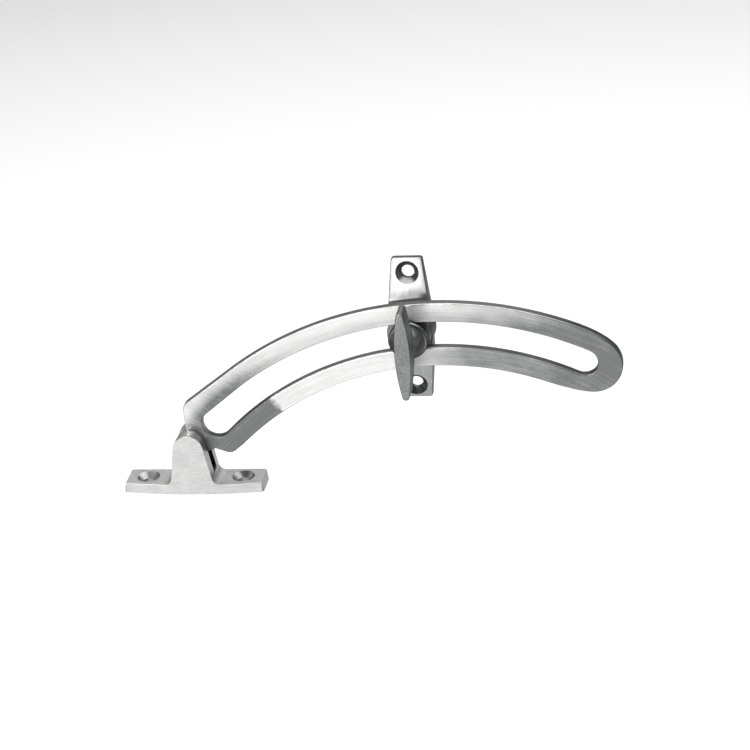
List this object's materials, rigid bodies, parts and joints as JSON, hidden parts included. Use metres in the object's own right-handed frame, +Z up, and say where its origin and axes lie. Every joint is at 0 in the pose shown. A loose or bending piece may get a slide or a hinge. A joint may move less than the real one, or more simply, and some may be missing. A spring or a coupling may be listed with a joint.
{
  "type": "casement window stay",
  "caption": "Slotted quadrant arm hinged to a screw-down base, sliding through a clamp bracket that a thumb turn locks.",
  "frame": {"origin": "centre of the base bracket's underside, where it is screwed down", "axes": "+X along the arm, +Y away from the face towards the clamp bracket's mounting surface, +Z up out of the base"},
  "size_m": [0.178, 0.0267, 0.0828],
  "materials": {
    "satin_plated_brass": "satin plated, brushed",
    "steel": "plain turned steel"
  },
  "bodies": {
    "clamp": {"clamp_bracket": "satin_plated_brass", "clamp_stud": "steel", "rear_washer": "steel"},
    "guide": {"slot_guide": "steel"},
    "arm": {"quadrant_arm": "satin_plated_brass"},
    "base": {"base_bracket": "satin_plated_brass", "pivot_pin": "steel"},
    "washer": {"pressure_washer": "satin_plated_brass"},
    "thumb": {"thumb_turn": "satin_plated_brass"}
  },
  "joints": [
    {"name": "swivel", "type": "hinge", "parent": "clamp", "child": "guide", "pos_m": [0.0804, 0, 0.05667], "axis": [0, -1, 0], "range_deg": [-60, 60]},
    {"name": "arm_travel", "type": "hinge", "parent": "guide", "child": "arm", "pos_m": [0.09074, 0, -0.05545], "axis": [0, -1, 0], "range_deg": [-36, 29]},
    {"name": "base_pivot", "type": "hinge", "parent": "arm", "child": "base", "pos_m": [0, 0, 0.016], "axis": [0, -1, 0], "range_deg": [-100, 34]},
    {"name": "screw_feed", "type": "slide", "parent": "clamp", "child": "washer", "axis": [0, -1, 0], "range_m": [0, 0.0009]},
    {"name": "thumb_turn", "type": "hinge", "parent": "washer", "child": "thumb", "pos_m": [0.0804, 0, 0.05667], "axis": [0, -1, 0], "range_deg": [0, 360]}
  ],
  "couplings": [
    {"joint": "screw_feed", "follows": "thumb_turn", "m_per_rad": 0.00012732}
  ]
}
